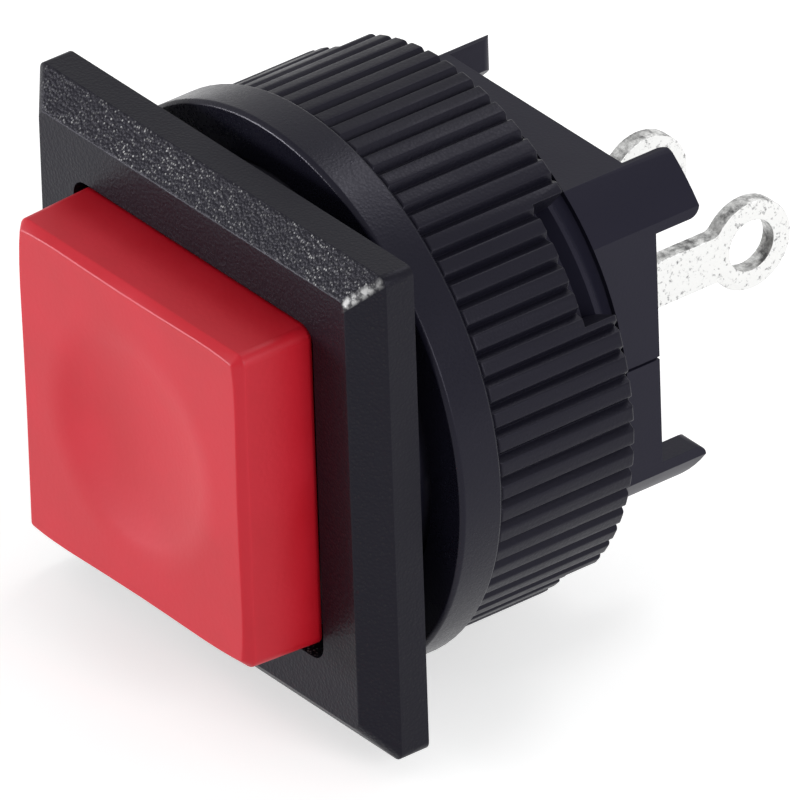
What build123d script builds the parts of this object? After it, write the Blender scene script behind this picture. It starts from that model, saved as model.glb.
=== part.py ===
from build123d import *
import math
import os

# Panel pushbutton switch, in millimetres.
# The origin is the centre of the bezel's rear face, which seats on the panel.
# The button faces -Y, the barrel and the terminals run towards +Y, and +Z is up.

os.makedirs("parts", exist_ok=True)

# Bezel
bezel_side = 18.0
bezel_corner = 0.35
bezel_depth = 2.0
bezel_band = 1.1
bevel_inset = 1.05
bezel_edge = 0.1
opening_corner = 0.6
opening_floor_y = -0.55

# Barrel and rear body
barrel_r = 8.0
thread_end_y = 9.2
body_step = 0.29
flat_depth = 1.56
body_end_y = 11.9
body_wall = 1.15
front_wall_y = 1.2
seam_width = 0.1
seam_depth = 0.12
seam_z = -0.35

# Prongs
prong_length = 1.77
prong_wall = 1.01
prong_slot_top = 8.92
prong_slot_side = 8.54
prong_round = 0.4

# Panel washer
washer_width = 1.65
washer_front_y = 1.05
washer_thickness = 1.7
washer_clearance = 0.1
washer_edge = 0.13

# Panel nut
nut_wall = 1.4
nut_length = 5.5
nut_to_washer = 0.05
nut_clearance = 0.05
nut_teeth = 68
groove_depth = 0.26
groove_width = 0.4
groove_phase = 0.5
nut_front_bevel = 0.15
nut_rear_bevel = 0.06
nut_bore_bevel = 0.3
notch_count = 4
notch_depth = 1.25
notch_angle = 26.0
notch_phase = 37.0

# Button cap
travel = 1.2
cap_front_y = -4.8
cap_side = 11.82
cap_taper = 0.09
cap_play = 0.315
cap_corner = 0.4
cap_edge = 0.3
cap_shift_x = 0.1
cap_shift_z = 0.2
cap_floor_gap = 0.1
cap_wall = 1.2
cap_crown = 1.3
dish_margin = 1.87
dish_depth = 0.45
socket_wall = 1.0
spigot_length = 1.45
spigot_gap = 0.04

# Plunger
neck_shoulder = 1.15
neck_gap = 0.08
flange_play = 0.3
flange_gap = 0.1
flange_thickness = 1.0
spigot_r = 2.4
stem_r = 1.4
stem_bevel = 0.2
clip_groove_depth = 0.25
clip_margin = 0.45

# Springs
return_spring_play = 0.6
return_wire = 0.4
return_turns = 5
contact_spring_play = 0.35
contact_wire = 0.3
contact_turns = 5
spring_gap = 0.03
coil_steps = 12
wire_sides = 6

# Contact bridge
bridge_y = 7.0
bridge_thickness = 0.4
bridge_play = 1.5
bridge_width = 2.4
bridge_eye_wall = 0.7
bridge_gap = 0.1
contact_r = 0.5
contact_height = 0.45
clip_wall = 0.55
clip_thickness = 0.3
clip_gap = 0.05
clip_mouth = 1.6

# Terminals and base
blade_x = 2.67
blade_thickness = 0.6
blade_width = 1.7
lug_z = -0.1
contact_travel = 0.75
pad_width = 1.6
eye_y = 18.2
eye_r = 1.6
eye_hole_r = 0.9
neck_fillet = 0.35
base_thickness = 2.1
base_gap = 0.05
slot_gap = 0.03

# Values that follow from those above
opening_side = cap_side + 2 * cap_play
cap_front_side = cap_side - 2 * cap_taper
cap_rear_y = opening_floor_y - travel - cap_floor_gap
dish_r = cap_front_side / 2 - dish_margin
spigot_end_y = cap_rear_y - spigot_length
socket_r = spigot_r + socket_wall
taper_end_y = thread_end_y + body_step / 2
body_r = barrel_r - body_step
flat_half = body_r - flat_depth
bore_r = flat_half - body_wall
prong_end_y = body_end_y + prong_length
prong_inner_r = body_r - prong_wall
washer_bore_r = barrel_r + washer_clearance
washer_r = washer_bore_r + washer_width
washer_rear_y = washer_front_y + washer_thickness
nut_bore_r = barrel_r + nut_clearance
nut_r = nut_bore_r + nut_wall
nut_front_y = washer_rear_y + nut_to_washer
nut_rear_y = nut_front_y + nut_length
neck_r = bore_r - neck_shoulder
flange_r = bore_r - flange_play
flange_front_y = front_wall_y + flange_gap
flange_rear_y = flange_front_y + flange_thickness
return_r = bore_r - return_spring_play - return_wire / 2
contact_spring_r = stem_r + contact_spring_play + contact_wire / 2
contact_x = (stem_r + return_r - return_wire / 2) / 2
bridge_rear_y = bridge_y + bridge_thickness
bridge_half = bore_r - bridge_play
bridge_eye_r = stem_r + bridge_gap + bridge_eye_wall
clip_groove_r = stem_r - clip_groove_depth
clip_r = clip_groove_r + clip_wall
clip_y = bridge_rear_y + clip_gap
stem_end_y = clip_y + clip_thickness + clip_margin
fixed_contact_y = bridge_rear_y + contact_height + contact_travel
pad_y = fixed_contact_y + contact_height
base_front_y = body_end_y - base_thickness


def across(y):
    """The plane square to the switch's axis at this depth, with X and Z as its own axes."""
    return Plane.XZ.offset(-y)


# Housing: one moulding with the bezel, the barrel, the flatted rear body and four prongs
with BuildPart() as housing:
    with BuildSketch(across(0)):
        RectangleRounded(bezel_side, bezel_side, bezel_corner)
    extrude(amount=bezel_band)
    with BuildSketch(across(-bezel_band)):
        RectangleRounded(bezel_side, bezel_side, bezel_corner)
    with BuildSketch(across(-bezel_depth)):
        face_side = bezel_side - 2 * bevel_inset
        RectangleRounded(face_side, face_side, bezel_corner)
    loft(ruled=True)
    bezel_face = housing.faces().filter_by(Axis.Y).sort_by(Axis.Y)[0]
    fillet(bezel_face.edges(), bezel_edge)
    with BuildSketch(Plane.XY):
        with BuildLine():
            Polyline(
                (0, 0),
                (barrel_r, 0),
                (barrel_r, thread_end_y),
                (body_r, taper_end_y),
                (0, taper_end_y),
                close=True,
            )
        make_face()
    revolve(axis=Axis.Y)
    with BuildSketch(across(body_end_y)):
        Circle(body_r)
        Rectangle(2 * flat_half, 2 * flat_half, mode=Mode.INTERSECT)
    extrude(amount=body_end_y - taper_end_y)
    with BuildSketch(across(prong_end_y)):
        Circle(body_r)
        Rectangle(2 * flat_half, 2 * flat_half, mode=Mode.INTERSECT)
        Circle(prong_inner_r, mode=Mode.SUBTRACT)
    extrude(amount=prong_end_y - body_end_y)
    for slot_plane, slot_width in ((Plane.YX, prong_slot_top), (Plane.YZ, prong_slot_side)):
        half = slot_width / 2
        straight_end = prong_end_y - prong_round
        with BuildSketch(slot_plane):
            for hand in (-1, 1):
                with BuildLine():
                    Polyline(
                        (prong_end_y, 0),
                        (body_end_y, 0),
                        (body_end_y, hand * half),
                        (straight_end, hand * half),
                    )
                    TangentArc(
                        (straight_end, hand * half),
                        (prong_end_y, hand * (half + prong_round)),
                        tangent=(1, 0),
                    )
                    Line((prong_end_y, hand * (half + prong_round)), (prong_end_y, 0))
                make_face()
        extrude(amount=2 * body_r, both=True, mode=Mode.SUBTRACT)
    with BuildSketch(across(-bezel_depth)):
        RectangleRounded(opening_side, opening_side, opening_corner)
    extrude(amount=opening_floor_y + bezel_depth, mode=Mode.SUBTRACT, dir=(0, 1, 0))
    with BuildSketch(across(opening_floor_y)):
        Circle(neck_r + neck_gap)
    extrude(amount=front_wall_y - opening_floor_y, mode=Mode.SUBTRACT, dir=(0, 1, 0))
    with BuildSketch(across(front_wall_y)):
        Circle(bore_r)
    extrude(amount=body_end_y - front_wall_y, mode=Mode.SUBTRACT, dir=(0, 1, 0))
    with BuildSketch(across(taper_end_y)):
        with Locations((flat_half, seam_z)):
            Rectangle(2 * seam_depth, seam_width)
    extrude(amount=body_end_y - taper_end_y, mode=Mode.SUBTRACT, dir=(0, 1, 0))
housing.part.label = "housing"
export_step(housing.part, "parts/housing.step")

# Panel washer: a plain round ring that slides on the barrel
with BuildPart() as panel_washer:
    with BuildSketch(across(washer_rear_y)):
        Circle(washer_r)
        Circle(washer_bore_r, mode=Mode.SUBTRACT)
    extrude(amount=washer_thickness)
    washer_rims = panel_washer.edges().filter_by(GeomType.CIRCLE).sort_by(SortBy.RADIUS)[-2:]
    chamfer(washer_rims, washer_edge)
panel_washer.part.label = "panel_washer"
export_step(panel_washer.part, "parts/panel_washer.step")

# Panel nut: a long knurled ring with four open notches in its rear edge
with BuildPart() as panel_nut:
    with BuildSketch(Plane.XY):
        with BuildLine():
            Polyline(
                (nut_bore_r, nut_front_y + nut_bore_bevel),
                (nut_bore_r + nut_bore_bevel, nut_front_y),
                (nut_r - nut_front_bevel, nut_front_y),
                (nut_r, nut_front_y + nut_front_bevel),
                (nut_r, nut_rear_y - nut_rear_bevel),
                (nut_r - nut_rear_bevel, nut_rear_y),
                (nut_bore_r + nut_bore_bevel, nut_rear_y),
                (nut_bore_r, nut_rear_y - nut_bore_bevel),
                close=True,
            )
        make_face()
    revolve(axis=Axis.Y)
    with BuildSketch(across(nut_rear_y)):
        with PolarLocations(nut_r, nut_teeth, start_angle=groove_phase):
            Polygon(
                (-groove_depth, 0),
                (groove_depth, groove_width),
                (groove_depth, -groove_width),
                align=None,
            )
    extrude(amount=nut_rear_y - nut_front_y, mode=Mode.SUBTRACT)
    with BuildSketch(across(nut_rear_y)):
        for notch in range(notch_count):
            middle = math.radians(notch_phase + notch * 360 / notch_count)
            half = math.radians(notch_angle / 2)
            reach = 1.2 * nut_r
            with BuildLine():
                Polyline(
                    (0, 0),
                    (reach * math.cos(middle - half), reach * math.sin(middle - half)),
                    (reach * math.cos(middle + half), reach * math.sin(middle + half)),
                    close=True,
                )
            make_face()
    extrude(amount=notch_depth, mode=Mode.SUBTRACT)
panel_nut.part.label = "panel_nut"
export_step(panel_nut.part, "parts/panel_nut.step")

# Button cap: a square shell with a round dish, and a socket for the plunger
with BuildPart() as button_cap:
    with BuildSketch(across(cap_rear_y)):
        with Locations((cap_shift_x, cap_shift_z)):
            RectangleRounded(cap_side, cap_side, cap_corner)
    with BuildSketch(across(cap_front_y)):
        with Locations((cap_shift_x, cap_shift_z)):
            RectangleRounded(cap_front_side, cap_front_side, cap_corner)
    loft(ruled=True)
    cap_face = button_cap.faces().sort_by(Axis.Y)[0]
    chamfer(cap_face.edges(), cap_edge)
    dish_sphere_r = (dish_r**2 + dish_depth**2) / (2 * dish_depth)
    with Locations((cap_shift_x, cap_front_y + dish_depth - dish_sphere_r, cap_shift_z)):
        Sphere(dish_sphere_r, mode=Mode.SUBTRACT)
    with BuildSketch(across(cap_rear_y)):
        hollow_side = cap_side - 2 * cap_wall
        with Locations((cap_shift_x, cap_shift_z)):
            RectangleRounded(hollow_side, hollow_side, cap_corner)
        Circle(socket_r, mode=Mode.SUBTRACT)
    extrude(amount=cap_rear_y - cap_front_y - cap_crown, mode=Mode.SUBTRACT)
    with BuildSketch(across(cap_rear_y)):
        Circle(spigot_r + spigot_gap)
    extrude(amount=cap_rear_y - spigot_end_y + spigot_gap, mode=Mode.SUBTRACT)
button_cap.part.label = "button_cap"
export_step(button_cap.part, "parts/button_cap.step")

# Plunger: spigot, guided neck, retaining flange and the stem that carries the bridge
with BuildPart() as plunger:
    with BuildSketch(Plane.XY):
        with BuildLine():
            Polyline(
                (0, spigot_end_y),
                (spigot_r, spigot_end_y),
                (spigot_r, cap_rear_y),
                (neck_r, cap_rear_y),
                (neck_r, flange_front_y),
                (flange_r, flange_front_y),
                (flange_r, flange_rear_y),
                (stem_r, flange_rear_y),
                (stem_r, clip_y),
                (clip_groove_r, clip_y),
                (clip_groove_r, clip_y + clip_thickness),
                (stem_r, clip_y + clip_thickness),
                (stem_r, stem_end_y - stem_bevel),
                (stem_r - stem_bevel, stem_end_y),
                (0, stem_end_y),
                close=True,
            )
        make_face()
    revolve(axis=Axis.Y)
plunger.part.label = "plunger"
export_step(plunger.part, "parts/plunger.step")


def coil_sections(radius, turns, start_y, end_y):
    """Planes square to a helix on the switch's axis, evenly spaced from one end to the other."""
    count = turns * coil_steps
    rise = end_y - start_y
    slope = rise / (2 * math.pi * radius * turns)
    planes = []
    for step in range(count + 1):
        angle = 2 * math.pi * step / coil_steps
        outward = (math.cos(angle), 0, math.sin(angle))
        along = (-math.sin(angle), slope, math.cos(angle))
        place = (radius * outward[0], start_y + rise * step / count, radius * outward[2])
        planes.append(Plane(origin=place, x_dir=outward, z_dir=along))
    return planes


# Return spring: from the plunger's flange to the base
with BuildPart() as return_spring:
    return_front = flange_rear_y + spring_gap + return_wire / 2
    return_rear = base_front_y - spring_gap - return_wire / 2
    for section in coil_sections(return_r, return_turns, return_front, return_rear):
        with BuildSketch(section):
            RegularPolygon(return_wire / 2, wire_sides)
    loft(ruled=True)
return_spring.part.label = "return_spring"
export_step(return_spring.part, "parts/return_spring.step")

# Contact spring: from the plunger's flange to the contact bridge
with BuildPart() as contact_spring:
    contact_front = flange_rear_y + spring_gap + contact_wire / 2
    contact_rear = bridge_y - spring_gap - contact_wire / 2
    for section in coil_sections(contact_spring_r, contact_turns, contact_front, contact_rear):
        with BuildSketch(section):
            RegularPolygon(contact_wire / 2, wire_sides)
    loft(ruled=True)
contact_spring.part.label = "contact_spring"
export_step(contact_spring.part, "parts/contact_spring.step")

# Contact bridge: a strip that slides on the stem
with BuildPart() as contact_bridge:
    with BuildSketch(across(bridge_rear_y)):
        SlotOverall(2 * bridge_half, bridge_width)
        Circle(bridge_eye_r)
        Circle(stem_r + bridge_gap, mode=Mode.SUBTRACT)
    extrude(amount=bridge_thickness)
contact_bridge.part.label = "contact_bridge"
export_step(contact_bridge.part, "parts/contact_bridge.step")

# Bridge clip: an open ring in the stem's groove, behind the bridge
with BuildPart() as bridge_clip:
    with BuildSketch(across(clip_y + clip_thickness)):
        Circle(clip_r)
        Circle(clip_groove_r, mode=Mode.SUBTRACT)
        with Locations((0, clip_r)):
            Rectangle(clip_mouth, 2 * clip_r, mode=Mode.SUBTRACT)
    extrude(amount=clip_thickness)
bridge_clip.part.label = "bridge_clip"
export_step(bridge_clip.part, "parts/bridge_clip.step")


def bridge_contact_at(x):
    """A contact rivet head on the rear of the bridge."""
    with BuildPart() as contact:
        with BuildSketch(across(bridge_rear_y + contact_height)):
            with Locations((x, 0)):
                Circle(contact_r)
        extrude(amount=contact_height)
    return contact


def fixed_contact_at(x):
    """A contact rivet head on the front of a terminal's pad."""
    with BuildPart() as contact:
        with BuildSketch(across(pad_y)):
            with Locations((x, 0)):
                Circle(contact_r)
        extrude(amount=contact_height)
    return contact


def terminal_on(side):
    """A strip with a contact pad across its inner end and a soldering eye at its outer end."""
    neck_y = eye_y - math.sqrt(eye_r**2 - (blade_width / 2) ** 2)
    with BuildPart() as terminal:
        with BuildSketch(Plane.YZ.offset(side * blade_x)):
            with Locations(((pad_y + eye_y) / 2, lug_z)):
                Rectangle(eye_y - pad_y, blade_width)
            with Locations((eye_y, lug_z)):
                Circle(eye_r)
        extrude(amount=blade_thickness / 2, both=True)
        neck_edges = terminal.edges().filter_by(Axis.X).filter_by_position(
            Axis.Y, neck_y - neck_fillet, neck_y + neck_fillet
        )
        fillet(neck_edges, neck_fillet)
        with BuildSketch(Plane.YZ.offset(side * blade_x)):
            with Locations((eye_y, lug_z)):
                Circle(eye_hole_r)
        extrude(amount=blade_thickness, both=True, mode=Mode.SUBTRACT)
        with BuildSketch(across(pad_y + blade_thickness)):
            with Locations((side * contact_x, lug_z)):
                Rectangle(pad_width, blade_width)
        extrude(amount=blade_thickness)
    return terminal


for side_name, side in (("left", -1), ("right", 1)):
    bridge_contact = bridge_contact_at(side * contact_x)
    bridge_contact.part.label = "bridge_contact_" + side_name
    export_step(bridge_contact.part, "parts/bridge_contact_" + side_name + ".step")
    fixed_contact = fixed_contact_at(side * contact_x)
    fixed_contact.part.label = "fixed_contact_" + side_name
    export_step(fixed_contact.part, "parts/fixed_contact_" + side_name + ".step")
    terminal = terminal_on(side)
    terminal.part.label = "terminal_" + side_name
    export_step(terminal.part, "parts/terminal_" + side_name + ".step")

# Base: the disc that closes the bore and holds both blades
with BuildPart() as base:
    with BuildSketch(across(body_end_y)):
        Circle(bore_r - base_gap)
        with Locations((-blade_x, lug_z), (blade_x, lug_z)):
            Rectangle(
                blade_thickness + 2 * slot_gap, blade_width + 2 * slot_gap, mode=Mode.SUBTRACT
            )
    extrude(amount=body_end_y - base_front_y)
base.part.label = "base"
export_step(base.part, "parts/base.step")
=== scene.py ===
import math

import bpy
from mathutils import Matrix, Vector


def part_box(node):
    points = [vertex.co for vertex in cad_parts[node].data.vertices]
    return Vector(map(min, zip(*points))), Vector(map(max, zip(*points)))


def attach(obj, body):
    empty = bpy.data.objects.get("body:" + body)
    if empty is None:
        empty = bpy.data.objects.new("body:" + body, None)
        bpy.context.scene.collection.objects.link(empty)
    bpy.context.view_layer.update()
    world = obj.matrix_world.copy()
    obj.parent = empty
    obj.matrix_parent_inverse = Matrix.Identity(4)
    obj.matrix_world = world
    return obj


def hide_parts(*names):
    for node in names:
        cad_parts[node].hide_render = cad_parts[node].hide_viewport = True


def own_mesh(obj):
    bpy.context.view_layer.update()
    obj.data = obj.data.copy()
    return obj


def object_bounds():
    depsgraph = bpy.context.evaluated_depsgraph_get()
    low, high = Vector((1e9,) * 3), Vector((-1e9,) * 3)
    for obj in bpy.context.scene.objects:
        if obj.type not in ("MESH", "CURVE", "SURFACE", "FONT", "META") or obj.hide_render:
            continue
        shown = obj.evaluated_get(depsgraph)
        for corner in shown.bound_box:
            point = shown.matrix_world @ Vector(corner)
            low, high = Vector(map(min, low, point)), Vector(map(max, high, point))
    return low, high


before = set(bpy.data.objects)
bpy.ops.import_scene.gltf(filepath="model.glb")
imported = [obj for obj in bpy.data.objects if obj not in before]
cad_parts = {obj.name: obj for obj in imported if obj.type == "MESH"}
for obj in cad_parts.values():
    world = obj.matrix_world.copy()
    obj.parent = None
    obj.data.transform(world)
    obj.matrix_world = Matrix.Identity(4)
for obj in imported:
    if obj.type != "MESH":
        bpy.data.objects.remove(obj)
cad_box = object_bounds()
MM = 0.001


# Camera: the viewing angle and framing of the photograph

view_azimuth = math.radians(53.035)
view_height = math.radians(31.323)
view_roll = math.radians(-1.945)
view_distance = 0.98716
view_side_step = 4.856 * MM
view_up_step = -0.043 * MM
lens_mm = 1391.4
sensor_mm = 36.0


def place_camera():
    back = Vector(
        (
            math.cos(view_height) * math.sin(view_azimuth),
            -math.cos(view_height) * math.cos(view_azimuth),
            math.sin(view_height),
        )
    )
    level_right = (-back).cross(Vector((0, 0, 1))).normalized()
    level_up = level_right.cross(-back)
    right = math.cos(view_roll) * level_right + math.sin(view_roll) * level_up
    up = -math.sin(view_roll) * level_right + math.cos(view_roll) * level_up
    data = bpy.data.cameras.new("camera")
    data.lens = lens_mm
    data.sensor_width = sensor_mm
    camera = bpy.data.objects.new("camera", data)
    bpy.context.collection.objects.link(camera)
    turn = Matrix((right, up, back)).transposed().to_4x4()
    place = view_side_step * right + view_up_step * up + view_distance * back
    camera.matrix_world = Matrix.Translation(place) @ turn
    bpy.context.scene.camera = camera


# Mesh work by operators

same_place = 0.0002 * MM
flat_join = math.radians(0.4)
sharp_edge = math.radians(32)


def deselect_all():
    bpy.ops.object.select_all(action="DESELECT")


def make_active(piece):
    deselect_all()
    piece.select_set(True)
    bpy.context.view_layer.objects.active = piece


def apply_place(piece):
    make_active(piece)
    bpy.ops.object.transform_apply(location=True, rotation=True, scale=True)


def edit_all(piece):
    """Opens a piece in edit mode with all of it selected."""
    make_active(piece)
    bpy.ops.object.mode_set(mode="EDIT")
    bpy.ops.mesh.select_all(action="SELECT")


def end_edit():
    bpy.ops.object.mode_set(mode="OBJECT")


def apply_modifier(piece, kind, **values):
    make_active(piece)
    modifier = piece.modifiers.new(kind.lower(), kind)
    for name, value in values.items():
        setattr(modifier, name, value)
    bpy.ops.object.modifier_apply(modifier=modifier.name)


def close_and_smooth(piece, sharp_degrees):
    """Closes the open ends of a swept shell, points its faces outwards and shades it."""
    edit_all(piece)
    bpy.ops.mesh.remove_doubles(threshold=same_place)
    bpy.ops.mesh.fill_holes(sides=0)
    bpy.ops.mesh.normals_make_consistent(inside=False)
    end_edit()
    bpy.ops.object.shade_smooth_by_angle(angle=math.radians(sharp_degrees))


def merge_points(piece):
    """Makes one point of points that lie in one place."""
    edit_all(piece)
    bpy.ops.mesh.remove_doubles(threshold=same_place)
    end_edit()


def combine(piece, operation, tool):
    """Cuts the tool's shape from the piece, or joins it on, and takes the tool away."""
    apply_modifier(piece, "BOOLEAN", operation=operation, solver="EXACT", object=tool)
    bpy.data.objects.remove(tool)
    merge_points(piece)


def sweep_round_axis(piece, rise_per_turn, turns, steps):
    """Sweeps a section along a right-hand helix on the switch's axis."""
    apply_modifier(
        piece,
        "SCREW",
        axis="Y",
        angle=2 * math.pi,
        screw_offset=rise_per_turn,
        iterations=turns,
        steps=steps,
        render_steps=steps,
        use_merge_vertices=False,
    )


# Springs

spring_wires = {"return_spring": 0.4 * MM, "contact_spring": 0.3 * MM}
spring_turns = 5
wire_sides = 14
steps_per_turn = 48


def make_spring(node, name):
    """A round wire coil in the space of the spring's solid."""
    low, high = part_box(node)
    wire = spring_wires[node]
    deselect_all()
    place = (high.x - wire / 2, low.y + wire / 2, 0)
    bpy.ops.mesh.primitive_circle_add(vertices=wire_sides, radius=wire / 2, location=place)
    spring = bpy.context.object
    spring.name = name
    apply_place(spring)
    rise = (high.y - low.y - wire) / spring_turns
    sweep_round_axis(spring, rise, spring_turns, steps_per_turn)
    close_and_smooth(spring, sharp_degrees=40)
    return spring


# Housing: the CAD solid with a real thread on its barrel

barrel_r = 8.0 * MM
barrel_end = 9.2 * MM
thread_pitch = 1.0 * MM
thread_depth = 0.32 * MM
thread_start = 0.6 * MM
thread_turns = 8
round_steps = 128
housing_edge = 0.05 * MM


def make_section(name, inner_r, outer_r, front, rear):
    """The outline of a ring's section, as four edges beside the switch's axis."""
    deselect_all()
    bpy.ops.mesh.primitive_plane_add(size=1.0, location=(0, 0, 0))
    section = bpy.context.object
    section.name = name
    edit_all(section)
    bpy.ops.transform.resize(value=(outer_r - inner_r, rear - front, 1))
    bpy.ops.transform.translate(value=((inner_r + outer_r) / 2, (front + rear) / 2, 0))
    bpy.ops.mesh.delete(type="ONLY_FACE")
    end_edit()
    return section


def make_core_cutter():
    """A ring that turns the barrel down to the root of its thread."""
    root_r = barrel_r - thread_depth
    overhang = 0.2 * MM
    front_gap = 0.02 * MM
    rear_overhang = 0.05 * MM
    cutter = make_section(
        "core_cutter", root_r, barrel_r + overhang, front_gap, barrel_end + rear_overhang
    )
    sweep_round_axis(cutter, rise_per_turn=0, turns=1, steps=round_steps)
    close_and_smooth(cutter, sharp_degrees=30)
    return cutter


def make_thread_ridge():
    """The thread's ridge: a bar with a narrow crest, wound round the turned barrel."""
    foot = 0.94 * thread_pitch
    crest = 0.16 * thread_pitch
    sunk = 0.06 * MM
    foot_r = barrel_r - thread_depth - sunk
    middle_r = (foot_r + barrel_r) / 2
    ridge = make_section(
        "thread_ridge", foot_r, barrel_r, thread_start - foot / 2, thread_start + foot / 2
    )
    for corner in ridge.data.vertices:
        if corner.co.x > middle_r:
            corner.co.y = thread_start + (corner.co.y - thread_start) * crest / foot
    sweep_round_axis(ridge, thread_pitch, thread_turns, round_steps)
    close_and_smooth(ridge, sharp_degrees=30)
    return ridge


def copy_node(node, name):
    """A copy of a CAD node's mesh with its loose triangles joined."""
    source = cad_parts[node]
    piece = bpy.data.objects.new(name, source.data.copy())
    bpy.context.collection.objects.link(piece)
    merge_points(piece)
    return piece


def soften_edges(piece, width, segments=2):
    """Rounds the edges that a moulded or stamped piece never has quite sharp."""
    edit_all(piece)
    bpy.ops.mesh.dissolve_limited(angle_limit=flat_join)
    end_edit()
    apply_modifier(
        piece,
        "BEVEL",
        width=width,
        segments=segments,
        limit_method="ANGLE",
        angle_limit=sharp_edge,
    )


def shade(piece):
    """Smooth over gentle edges, with flat faces kept flat."""
    make_active(piece)
    bpy.ops.object.shade_smooth_by_angle(angle=sharp_edge)
    apply_modifier(piece, "WEIGHTED_NORMAL", keep_sharp=True)


def make_housing():
    piece = copy_node("housing", "housing_moulding")
    soften_edges(piece, housing_edge)
    combine(piece, "DIFFERENCE", make_core_cutter())
    combine(piece, "UNION", make_thread_ridge())
    shade(piece)
    return piece


# Cap: the CAD solid with rounded edges and a soft rim round its dish

dish_r = 3.95 * MM
dish_depth = 0.47 * MM
dish_centre = Vector((0.1 * MM, 0.2 * MM))
rim_softness = 0.5 * MM
dish_steps = 40
blank_front = -1.0 * MM
cap_edge = 0.18 * MM
cap_edge_steps = 4


def dish_profile(r):
    """How deep the dish is at a distance from its middle: a ball's surface that fades out."""
    ball_r = (dish_r**2 + dish_depth**2) / (2 * dish_depth)
    fade_start = dish_r - rim_softness
    if r <= fade_start:
        return dish_depth - ball_r + math.sqrt(ball_r**2 - r**2)
    level = dish_profile(fade_start)
    return level * ((dish_r + rim_softness - r) / (2 * rim_softness)) ** 2


def make_dish_cutter(front):
    """A turned blank in the dish's shape, from a ring of points pulled to its half section."""
    reach = dish_r + rim_softness
    distances = [reach * step / dish_steps for step in range(dish_steps + 1)]
    section = [(r, dish_profile(r), 0) for r in distances]
    section += [(reach, blank_front, 0), (0, blank_front, 0)]
    deselect_all()
    bpy.ops.mesh.primitive_circle_add(vertices=len(section), radius=MM)
    cutter = bpy.context.object
    cutter.name = "dish_cutter"
    for point, place in zip(cutter.data.vertices, section):
        point.co = place
    sweep_round_axis(cutter, rise_per_turn=0, turns=1, steps=round_steps)
    close_and_smooth(cutter, sharp_degrees=40)
    cutter.location = (dish_centre.x, front, dish_centre.y)
    apply_place(cutter)
    return cutter


def make_cap():
    piece = copy_node("button_cap", "red_cap")
    soften_edges(piece, cap_edge, cap_edge_steps)
    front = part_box("button_cap")[0].y
    combine(piece, "DIFFERENCE", make_dish_cutter(front))
    shade(piece)
    return piece


def make_softened(node, name, width):
    """A copy of a CAD node with its edges rounded."""
    piece = copy_node(node, name)
    soften_edges(piece, width)
    shade(piece)
    return piece


# Shader node helpers

# A Mix node's colours and their blend, whose names its other sockets have too
first_colour, second_colour, blended_colour = 6, 7, 2


class Shader:
    """A material's node tree, or a shader group's, with short ways to add and join nodes."""

    def __init__(self, tree):
        self.tree = tree

    def node(self, kind, **values):
        made = self.tree.nodes.new(kind)
        for name, value in values.items():
            setattr(made, name, value)
        return made

    def join(self, source, target):
        self.tree.links.new(source, target)

    def feed(self, value, socket):
        """Joins another node's output to a socket, or sets the socket's own value."""
        if isinstance(value, bpy.types.NodeSocket):
            self.join(value, socket)
        else:
            socket.default_value = value

    def axes(self, vector):
        """A vector's three parts, by the names X, Y and Z."""
        made = self.node("ShaderNodeSeparateXYZ")
        self.join(vector, made.inputs["Vector"])
        return made.outputs

    def noise(self, place, scale, detail=4.0, rough=0.55):
        made = self.node("ShaderNodeTexNoise")
        self.feed(scale, made.inputs["Scale"])
        made.inputs["Detail"].default_value = detail
        made.inputs["Roughness"].default_value = rough
        self.join(place, made.inputs["Vector"])
        return made.outputs["Fac"]

    def spread(self, value, low, high, to_low=0.0, to_high=1.0):
        made = self.node("ShaderNodeMapRange")
        made.inputs["From Min"].default_value = low
        made.inputs["From Max"].default_value = high
        made.inputs["To Min"].default_value = to_low
        made.inputs["To Max"].default_value = to_high
        self.join(value, made.inputs["Value"])
        return made.outputs["Result"]

    def math(self, kind, *values):
        made = self.node("ShaderNodeMath", operation=kind)
        for value, socket in zip(values, made.inputs):
            self.feed(value, socket)
        return made.outputs["Value"]

    def blend_colour(self, share, first, second):
        made = self.node("ShaderNodeMix", data_type="RGBA")
        self.join(share, made.inputs["Factor"])
        self.feed(first, made.inputs[first_colour])
        self.feed(second, made.inputs[second_colour])
        return made.outputs[blended_colour]


def new_group(name, inputs, outputs):
    group = bpy.data.node_groups.new(name, "ShaderNodeTree")
    for in_out, sockets in (("INPUT", inputs), ("OUTPUT", outputs)):
        for label, kind in sockets:
            group.interface.new_socket(label, in_out=in_out, socket_type=kind)
    shader = Shader(group)
    return shader, shader.node("NodeGroupInput"), shader.node("NodeGroupOutput")


def make_mould_grain():
    """A moulded surface's fine texture: a height for the bump, its high spots, and scattered
    cells where glints are painted.
    """
    shader, given, result = new_group(
        "mould_grain",
        inputs=[("Place", "NodeSocketVector"), ("Grain per m", "NodeSocketFloat")],
        outputs=[(label, "NodeSocketFloat") for label in ("Height", "High spots", "Glints")],
    )
    place, per_metre = given.outputs["Place"], given.outputs["Grain per m"]
    cells = shader.node("ShaderNodeTexVoronoi", feature="F1")
    shader.join(place, cells.inputs["Vector"])
    shader.join(per_metre, cells.inputs["Scale"])
    fine = shader.noise(place, per_metre, rough=0.7)
    bumps = shader.spread(cells.outputs["Distance"], 0.0, 0.8, 1.0, 0.0)
    height = shader.math("MULTIPLY", shader.math("ADD", bumps, fine), 0.5)
    shader.join(height, result.inputs["Height"])
    shader.join(shader.spread(height, 0.6, 0.75), result.inputs["High spots"])
    draw = shader.node("ShaderNodeSeparateColor")
    shader.join(cells.outputs["Color"], draw.inputs["Color"])
    picked = shader.spread(draw.outputs["Red"], 0.6, 0.95)
    middle = shader.spread(cells.outputs["Distance"], 0.2, 0.5, 1.0, 0.0)
    shader.join(shader.math("MULTIPLY", picked, middle), result.inputs["Glints"])
    return shader.tree


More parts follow.
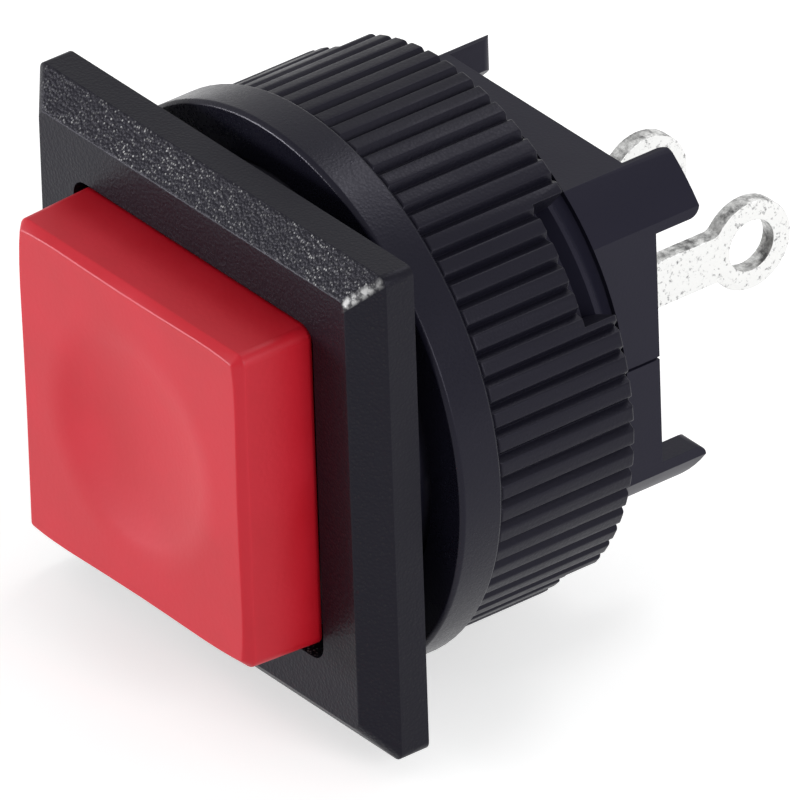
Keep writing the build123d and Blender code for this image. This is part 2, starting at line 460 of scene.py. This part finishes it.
def start_material(name):
    material = bpy.data.materials.new(name)
    material.use_nodes = True
    shader = Shader(material.node_tree)
    surface = material.node_tree.nodes["Principled BSDF"]
    place = shader.node("ShaderNodeTexCoord").outputs["Object"]
    return material, shader, surface, place


def grey(value):
    return (value, value, value, 1.0)


def black(value):
    """A black with the faint violet of the plastic."""
    return (value, 0.95 * value, 1.8 * value, 1.0)


def set_shine(surface, level, tint):
    surface.inputs["Specular IOR Level"].default_value = level
    surface.inputs["Specular Tint"].default_value = tint


plain_shine = (1.0, 1.0, 1.0, 1.0)
violet_shine = (0.86, 0.83, 1.0, 1.0)
patches_per_m = 420.0
mould_grain = make_mould_grain()


def place_grain(shader, place, per_metre):
    grain = shader.node("ShaderNodeGroup", node_tree=mould_grain)
    grain.inputs["Grain per m"].default_value = per_metre
    shader.join(place, grain.inputs["Place"])
    return grain


def add_bump(shader, surface, height, depth):
    bump = shader.node("ShaderNodeBump")
    bump.inputs["Distance"].default_value = depth
    shader.join(height, bump.inputs["Height"])
    shader.join(bump.outputs["Normal"], surface.inputs["Normal"])


def moulded_plastic(name, base, light, rough, per_metre, depth, shine=0.2, tint=plain_shine):
    """Moulded plastic, with fine grain in its relief, its tone and its gloss."""
    material, shader, surface, place = start_material(name)
    grain = place_grain(shader, place, per_metre)
    patches = shader.noise(place, patches_per_m, detail=3.0)
    tone = shader.blend_colour(grain.outputs["High spots"], base, light)
    shader.join(tone, surface.inputs["Base Color"])
    gloss = shader.math(
        "ADD",
        shader.spread(patches, 0.3, 0.7, rough - 0.04, rough + 0.05),
        shader.spread(grain.outputs["Height"], 0.3, 0.7, 0.04, -0.04),
    )
    shader.join(gloss, surface.inputs["Roughness"])
    set_shine(surface, shine, tint)
    add_bump(shader, surface, grain.outputs["Height"], depth)
    return material


bevel_front = -2.0 * MM
bevel_rear = -1.1 * MM
face_corner = 7.9 * MM


def bezel_masks(shader, place):
    """1 on the bezel in front of the panel, 1 on its bevel, and 1 along its upper right mitre,
    where a highlight is painted.
    """
    across, depth, upright = shader.axes(place)
    on_bezel = shader.spread(depth, 0.0, 0.3 * MM, 1.0, 0.0)
    behind_face = shader.spread(depth, bevel_front - 0.02 * MM, bevel_front + 0.04 * MM)
    before_band = shader.spread(depth, bevel_rear - 0.05 * MM, bevel_rear, 1.0, 0.0)
    on_bevel = shader.math("MULTIPLY", behind_face, before_band)
    off_mitre = shader.math("ABSOLUTE", shader.math("SUBTRACT", across, upright))
    near_mitre = shader.spread(off_mitre, 0.08 * MM, 0.3 * MM, 1.0, 0.0)
    past_face = shader.spread(across, face_corner - 0.1 * MM, face_corner)
    # Painted highlight: a pale streak along the upper right mitre, strongest near the face
    mitre_highlight = shader.spread(depth, bevel_front + 0.3 * MM, bevel_rear, 1.0, 0.2)
    mitre_highlight = shader.math("MULTIPLY", mitre_highlight, shader.math("MULTIPLY", near_mitre, past_face))
    return on_bezel, on_bevel, shader.math("MULTIPLY", mitre_highlight, on_bevel)


def housing_plastic():
    """The housing's black plastic: grain on the bevel, painted glints as pale specks where the
    bevel faces up, and a painted highlight on its mitre.
    """
    material, shader, surface, place = start_material("housing_black")
    grain = place_grain(shader, place, 8500.0)
    glint_cells = place_grain(shader, place, 11000.0)
    patches = shader.noise(place, patches_per_m, detail=3.0)
    on_bezel, on_bevel, mitre_highlight = bezel_masks(shader, place)
    normal = shader.axes(shader.node("ShaderNodeTexCoord").outputs["Normal"])
    looks_up = shader.spread(normal["Z"], 0.35, 0.6)
    spots = shader.math("MULTIPLY", grain.outputs["High spots"], on_bezel)
    tone = shader.blend_colour(spots, black(0.004), grey(0.014))
    tone = shader.blend_colour(on_bezel, black(0.011), tone)
    # Painted glints: pale grey specks in scattered grain cells on the bevel, denser in patches,
    # only where it faces up
    glint_patches = shader.spread(patches, 0.42, 0.58, 0.25, 1.0)
    pale = shader.math("MULTIPLY", glint_cells.outputs["Glints"], on_bevel)
    pale = shader.math("MULTIPLY", pale, glint_patches)
    tone = shader.blend_colour(shader.math("MULTIPLY", pale, looks_up), tone, grey(0.45))
    broken = shader.spread(shader.noise(place, 3500.0, detail=3.0), 0.4, 0.55, 0.15, 1.0)
    # The mitre's painted highlight: pale grey, broken up by fine noise
    painted_mitre_highlight = shader.math("MULTIPLY", mitre_highlight, broken)
    shader.join(shader.blend_colour(painted_mitre_highlight, tone, grey(0.75)), surface.inputs["Base Color"])
    shader.join(shader.spread(patches, 0.3, 0.7, 0.38, 0.44), surface.inputs["Roughness"])
    set_shine(surface, 0.19, violet_shine)
    on_face = shader.spread(on_bezel, 0.0, 1.0, 0.12, 0.45)
    share = shader.math("ADD", on_face, shader.math("MULTIPLY", on_bevel, 0.55))
    add_bump(shader, surface, shader.math("MULTIPLY", grain.outputs["Height"], share), 0.025 * MM)
    return material


def cap_plastic():
    """The cap's red plastic, with a soft cloudiness and the grain of its mould."""
    material, shader, surface, place = start_material("cap_red")
    grain = place_grain(shader, place, 5200.0)
    clouds = shader.noise(place, 260.0)
    deep, pale = (0.51, 0.003, 0.012, 1), (0.56, 0.007, 0.02, 1)
    tone = shader.blend_colour(shader.spread(clouds, 0.35, 0.65), deep, pale)
    shader.join(tone, surface.inputs["Base Color"])
    shader.join(shader.spread(clouds, 0.3, 0.7, 0.4, 0.48), surface.inputs["Roughness"])
    set_shine(surface, 0.44, (1.0, 0.9, 1.0, 1.0))
    surface.inputs["Subsurface Weight"].default_value = 0.12
    surface.inputs["Subsurface Radius"].default_value = (1.0, 0.2, 0.2)
    surface.inputs["Subsurface Scale"].default_value = 0.5 * MM
    add_bump(shader, surface, grain.outputs["Height"], 0.004 * MM)
    return material


def metal(name, low, high, rough, pit_depth, pits_per_m=3800.0, cut_edge=None):
    """Bare metal with small dull pits. A strip's cut edges, which don't face X, are streaked."""
    material, shader, surface, place = start_material(name)
    pits = shader.noise(place, pits_per_m, detail=5.0, rough=0.7)
    tone = shader.blend_colour(shader.spread(pits, 0.3, 0.45), low, high)
    dull = shader.spread(pits, 0.3, 0.6, rough + 0.12, rough - 0.05)
    if cut_edge:
        normal = shader.axes(shader.node("ShaderNodeTexCoord").outputs["Normal"])
        cut = shader.spread(shader.math("ABSOLUTE", normal["X"]), 0.3, 0.8, 1.0, 0.0)
        shear_marks = shader.noise(place, 2200.0, detail=5.0, rough=0.7)
        streaks = shader.spread(shear_marks, 0.35, 0.6)
        sheared = shader.blend_colour(streaks, cut_edge, high)
        tone = shader.blend_colour(cut, tone, sheared)
        dull = shader.math("ADD", dull, shader.math("MULTIPLY", cut, 0.1))
    shader.join(tone, surface.inputs["Base Color"])
    shader.join(dull, surface.inputs["Roughness"])
    surface.inputs["Metallic"].default_value = 1.0
    add_bump(shader, surface, pits, pit_depth)
    return material


def give(piece, material):
    """Puts one material on a piece or a CAD node."""
    piece.data.materials.clear()
    piece.data.materials.append(material)


housing_black = housing_plastic()
ring_black = moulded_plastic(
    "ring_black",
    base=black(0.007),
    light=black(0.011),
    rough=0.28,
    per_metre=9000.0,
    depth=0.006 * MM,
    tint=violet_shine,
)
nut_black = moulded_plastic(
    "nut_black",
    base=black(0.006),
    light=black(0.01),
    rough=0.4,
    per_metre=9000.0,
    depth=0.008 * MM,
    tint=violet_shine,
)
plunger_white = moulded_plastic(
    "plunger_white",
    base=grey(0.72),
    light=grey(0.76),
    rough=0.45,
    per_metre=8000.0,
    depth=0.006 * MM,
    shine=0.5,
)
base_brown = moulded_plastic(
    "base_brown",
    base=(0.03, 0.02, 0.014, 1),
    light=(0.045, 0.03, 0.02, 1),
    rough=0.55,
    per_metre=8000.0,
    depth=0.01 * MM,
)
cap_red = cap_plastic()
lug_tin = metal(
    "lug_tin",
    low=(0.1, 0.1, 0.11, 1),
    high=(0.82, 0.82, 0.81, 1),
    rough=0.36,
    pit_depth=0.02 * MM,
    pits_per_m=5600.0,
    cut_edge=grey(0.14),
)
spring_steel = metal(
    "spring_steel", low=grey(0.4), high=grey(0.6), rough=0.25, pit_depth=0.003 * MM
)
silver = metal(
    "contact_silver",
    low=(0.75, 0.74, 0.7, 1),
    high=(0.88, 0.87, 0.84, 1),
    rough=0.25,
    pit_depth=0.003 * MM,
)
brass = metal(
    "bridge_brass",
    low=(0.6, 0.42, 0.18, 1),
    high=(0.78, 0.58, 0.27, 1),
    rough=0.28,
    pit_depth=0.004 * MM,
)

node_materials = {
    "plunger": plunger_white,
    "base": base_brown,
    "bridge_clip": spring_steel,
    "contact_bridge": brass,
}
for side in ("left", "right"):
    node_materials["fixed_contact_" + side] = silver
    node_materials["bridge_contact_" + side] = silver
for node, material in node_materials.items():
    give(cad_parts[node], material)


# The pieces made here, each in its node's place

ring_edge = 0.04 * MM
lug_edge = 0.05 * MM


def fit(piece, node, body, material):
    give(piece, material)
    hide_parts(node)
    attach(piece, body)


fit(make_housing(), "housing", "housing", housing_black)
fit(make_cap(), "button_cap", "button", cap_red)
washer = make_softened("panel_washer", "slip_washer", ring_edge)
fit(washer, "panel_washer", "washer", ring_black)
nut = make_softened("panel_nut", "knurled_nut", ring_edge)
fit(nut, "panel_nut", "nut", nut_black)
for side in ("left", "right"):
    lug = make_softened("terminal_" + side, "lug_" + side, lug_edge)
    fit(lug, "terminal_" + side, "housing", lug_tin)

return_coil = make_spring("return_spring", "return_coil")
fit(return_coil, "return_spring", "housing", spring_steel)
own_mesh(return_coil)

contact_coil = make_spring("contact_spring", "contact_coil")
fit(contact_coil, "contact_spring", "button", spring_steel)
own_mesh(contact_coil)


# Floor, lamps and sky

floor_side = 1.2
floor_gap = 0.01 * MM
switch_middle = Vector((0, 0, 0))


def seen_rays(shader):
    """1 for what the camera sees, straight, mirrored or through something clear."""
    rays = shader.node("ShaderNodeLightPath").outputs
    straight_or_mirrored = shader.math("MAXIMUM", rays["Is Camera Ray"], rays["Is Glossy Ray"])
    return shader.math("MAXIMUM", straight_or_mirrored, rays["Is Transmission Ray"])


def join_by_rays(shader, unseen, seen, target):
    """Shows the camera one shader and lights the switch with another."""
    pick = shader.node("ShaderNodeMixShader")
    shader.join(seen_rays(shader), pick.inputs["Fac"])
    shader.join(unseen, pick.inputs[1])
    shader.join(seen, pick.inputs[2])
    shader.join(pick.outputs["Shader"], target)


def make_floor():
    level = cad_box[0].z - floor_gap
    bpy.ops.mesh.primitive_plane_add(size=floor_side, location=(0, 0, level))
    floor = bpy.context.object
    floor.name = "floor"
    material, shader, surface, _ = start_material("floor_white")
    surface.inputs["Base Color"].default_value = (0.85, 0.85, 0.85, 1)
    surface.inputs["Roughness"].default_value = 0.9
    glow = shader.node("ShaderNodeEmission")
    glow.inputs["Strength"].default_value = 0.52
    lifted = shader.node("ShaderNodeAddShader")
    shader.join(surface.outputs["BSDF"], lifted.inputs[0])
    shader.join(glow.outputs["Emission"], lifted.inputs[1])
    out = material.node_tree.nodes["Material Output"]
    join_by_rays(
        shader, surface.outputs["BSDF"], lifted.outputs["Shader"], out.inputs["Surface"]
    )
    floor.data.materials.append(material)


def add_lamp(name, place, size, watts):
    """A round lamp that faces the switch."""
    data = bpy.data.lights.new(name, "AREA")
    data.shape = "DISK"
    data.size = size
    data.energy = watts
    lamp = bpy.data.objects.new(name, data)
    bpy.context.collection.objects.link(lamp)
    lamp.location = place
    lamp.rotation_euler = (switch_middle - Vector(place)).to_track_quat("-Z", "Y").to_euler()


def make_sky():
    world = bpy.data.worlds.new("sky")
    bpy.context.scene.world = world
    world.use_nodes = True
    shader = Shader(world.node_tree)
    soft = world.node_tree.nodes["Background"]
    soft.inputs["Color"].default_value = (1, 1, 1, 1)
    soft.inputs["Strength"].default_value = 0.45
    white = shader.node("ShaderNodeBackground")
    white.inputs["Strength"].default_value = 1.0
    out = world.node_tree.nodes["World Output"]
    join_by_rays(
        shader, soft.outputs["Background"], white.outputs["Background"], out.inputs["Surface"]
    )


place_camera()
make_floor()
make_sky()
add_lamp("low_front_lamp", place=(-0.26, -0.28, 0.04), size=0.12, watts=1.05)
add_lamp("high_back_lamp", place=(-0.05, 0.3, 0.4), size=0.2, watts=0.4)
add_lamp("right_lamp", place=(0.35, 0.0, 0.15), size=0.2, watts=0.56)

bpy.context.scene.view_settings.view_transform = "Standard"
